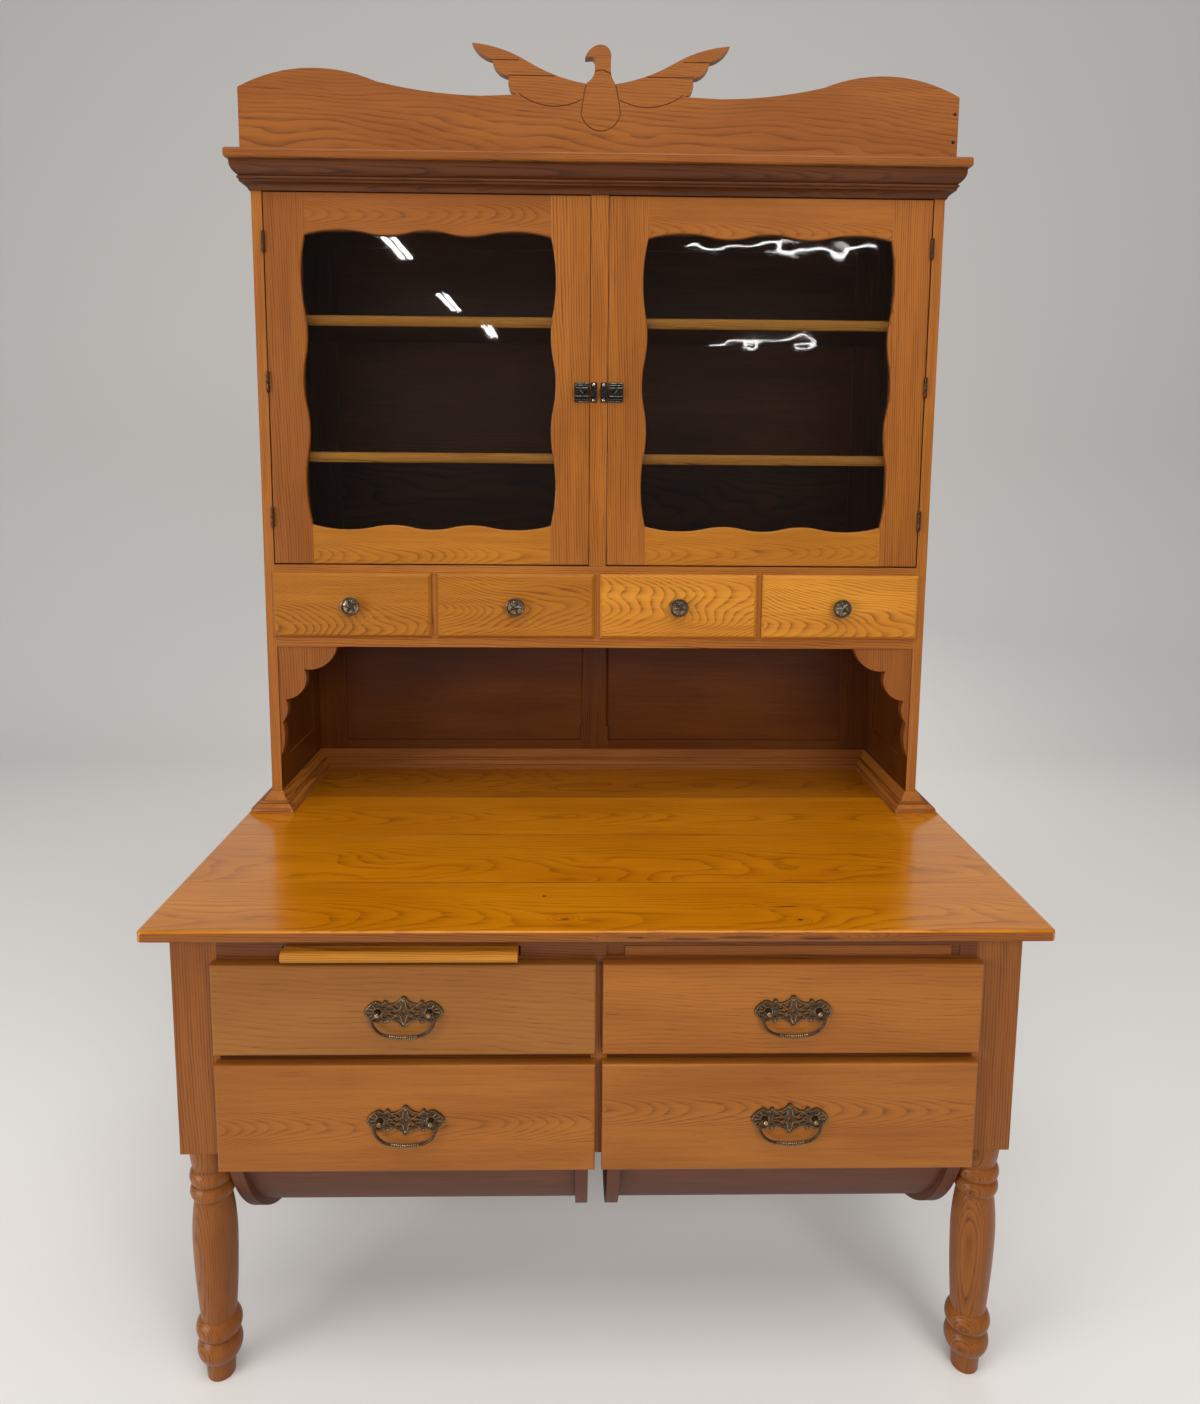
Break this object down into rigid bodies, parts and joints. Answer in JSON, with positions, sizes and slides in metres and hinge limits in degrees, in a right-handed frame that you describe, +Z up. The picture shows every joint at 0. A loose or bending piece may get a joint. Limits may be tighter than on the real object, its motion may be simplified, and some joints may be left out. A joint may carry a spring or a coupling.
{
  "type": "bakers cabinet",
  "caption": "Oak bakers cabinet: table with drawers and round-bellied flour bins on turned legs, under a glazed hutch with small drawers and a carved eagle crest",
  "frame": {"origin": "on the floor under the middle of the outline", "axes": "+Z up, front faces -Y, +X to the viewer's right"},
  "size_m": [1.342, 0.78, 2.195],
  "materials": {
    "oak": "varnished oak, amber brown",
    "oak_top": "varnished oak, glossy",
    "oak_light": "varnished oak, golden",
    "oak_dark": "stained oak, dark",
    "glass": "clear",
    "bronze": "antique bronze",
    "black_iron": "black, worn",
    "hinge_steel": "browned steel",
    "pewter": "dark pewter"
  },
  "bodies": {
    "cabinet": {"leg_front_left": "oak", "leg_front_right": "oak", "leg_rear_left": "oak", "leg_rear_right": "oak", "base_side_left": "oak", "base_side_right": "oak", "base_back": "oak", "front_top_rail": "oak", "front_dividers": "oak", "runners": "oak_dark", "table_top": "oak_top", "hutch_side_left": "oak", "hutch_side_right": "oak", "hutch_back": "oak_dark", "hutch_top": "oak", "shelves": "oak", "drawer_case": "oak", "hutch_centre_stile": "oak", "cornice": "oak", "crest_board": "oak", "bracket_left": "oak", "bracket_right": "oak", "foot_mouldings": "oak", "hinge_case_leaves": "hinge_steel", "latch_keepers": "black_iron"},
    "door_left": {"door_left_frame": "oak", "door_left_glass": "glass", "hinge_leaves_left": "hinge_steel", "latch_left_case": "black_iron"},
    "latch_bolt_left": {"latch_left_bolt": "black_iron"},
    "drawer_left": {"drawer_left": "oak", "drawer_left_plate": "bronze"},
    "drawer_left_bail": {"drawer_left_bail": "bronze"},
    "bin_left": {"bin_left": "oak", "bin_left_plate": "bronze", "bin_left_belly": "oak_dark"},
    "bin_left_bail": {"bin_left_bail": "bronze"},
    "door_right": {"door_right_frame": "oak", "door_right_glass": "glass", "hinge_leaves_right": "hinge_steel", "latch_right_case": "black_iron"},
    "latch_bolt_right": {"latch_right_bolt": "black_iron"},
    "drawer_right": {"drawer_right": "oak", "drawer_right_plate": "bronze"},
    "drawer_right_bail": {"drawer_right_bail": "bronze"},
    "bin_right": {"bin_right": "oak", "bin_right_plate": "bronze", "bin_right_belly": "oak_dark"},
    "bin_right_bail": {"bin_right_bail": "bronze"},
    "breadboard_left": {"breadboard_left": "oak"},
    "breadboard_right": {"breadboard_right": "oak"},
    "small_drawer_1": {"small_drawer_1": "oak_light", "small_drawer_1_knob": "pewter"},
    "small_drawer_2": {"small_drawer_2": "oak_light", "small_drawer_2_knob": "pewter"},
    "small_drawer_3": {"small_drawer_3": "oak_light", "small_drawer_3_knob": "pewter"},
    "small_drawer_4": {"small_drawer_4": "oak_light", "small_drawer_4_knob": "pewter"}
  },
  "joints": [
    {"name": "door_left_hinge", "type": "hinge", "parent": "cabinet", "child": "door_left", "pos_m": [-0.607, 0.0938, 1.6015], "axis": [0, 0, -1], "range_deg": [0, 150]},
    {"name": "latch_left_slide", "type": "slide", "parent": "door_left", "child": "latch_bolt_left", "axis": [1, 0, 0], "range_m": [0, 0.007]},
    {"name": "drawer_left_slide", "type": "slide", "parent": "cabinet", "child": "drawer_left", "axis": [0, -1, 0], "range_m": [0, 0.4]},
    {"name": "drawer_left_bail_swing", "type": "hinge", "parent": "drawer_left", "child": "drawer_left_bail", "pos_m": [-0.29, -0.3803, 0.64975], "axis": [-1, 0, 0], "range_deg": [0, 85]},
    {"name": "bin_left_slide", "type": "slide", "parent": "cabinet", "child": "bin_left", "axis": [0, -1, 0], "range_m": [0, 0.4]},
    {"name": "bin_left_bail_swing", "type": "hinge", "parent": "bin_left", "child": "bin_left_bail", "pos_m": [-0.29, -0.3803, 0.4755], "axis": [-1, 0, 0], "range_deg": [0, 85]},
    {"name": "door_right_hinge", "type": "hinge", "parent": "cabinet", "child": "door_right", "pos_m": [0.607, 0.0938, 1.6015], "axis": [0, 0, 1], "range_deg": [0, 150]},
    {"name": "latch_right_slide", "type": "slide", "parent": "door_right", "child": "latch_bolt_right", "axis": [-1, 0, 0], "range_m": [0, 0.007]},
    {"name": "drawer_right_slide", "type": "slide", "parent": "cabinet", "child": "drawer_right", "axis": [0, -1, 0], "range_m": [0, 0.4]},
    {"name": "drawer_right_bail_swing", "type": "hinge", "parent": "drawer_right", "child": "drawer_right_bail", "pos_m": [0.29, -0.3803, 0.64975], "axis": [-1, 0, 0], "range_deg": [0, 85]},
    {"name": "bin_right_slide", "type": "slide", "parent": "cabinet", "child": "bin_right", "axis": [0, -1, 0], "range_m": [0, 0.4]},
    {"name": "bin_right_bail_swing", "type": "hinge", "parent": "bin_right", "child": "bin_right_bail", "pos_m": [0.29, -0.3803, 0.4755], "axis": [-1, 0, 0], "range_deg": [0, 85]},
    {"name": "breadboard_left_slide", "type": "slide", "parent": "cabinet", "child": "breadboard_left", "axis": [0, -1, 0], "range_m": [-0.0127, 0.35]},
    {"name": "breadboard_right_slide", "type": "slide", "parent": "cabinet", "child": "breadboard_right", "axis": [0, -1, 0], "range_m": [0, 0.35]},
    {"name": "small_drawer_1_slide", "type": "slide", "parent": "cabinet", "child": "small_drawer_1", "axis": [0, -1, 0], "range_m": [0, 0.2]},
    {"name": "small_drawer_2_slide", "type": "slide", "parent": "cabinet", "child": "small_drawer_2", "axis": [0, -1, 0], "range_m": [0, 0.2]},
    {"name": "small_drawer_3_slide", "type": "slide", "parent": "cabinet", "child": "small_drawer_3", "axis": [0, -1, 0], "range_m": [0, 0.2]},
    {"name": "small_drawer_4_slide", "type": "slide", "parent": "cabinet", "child": "small_drawer_4", "axis": [0, -1, 0], "range_m": [0, 0.2]}
  ]
}
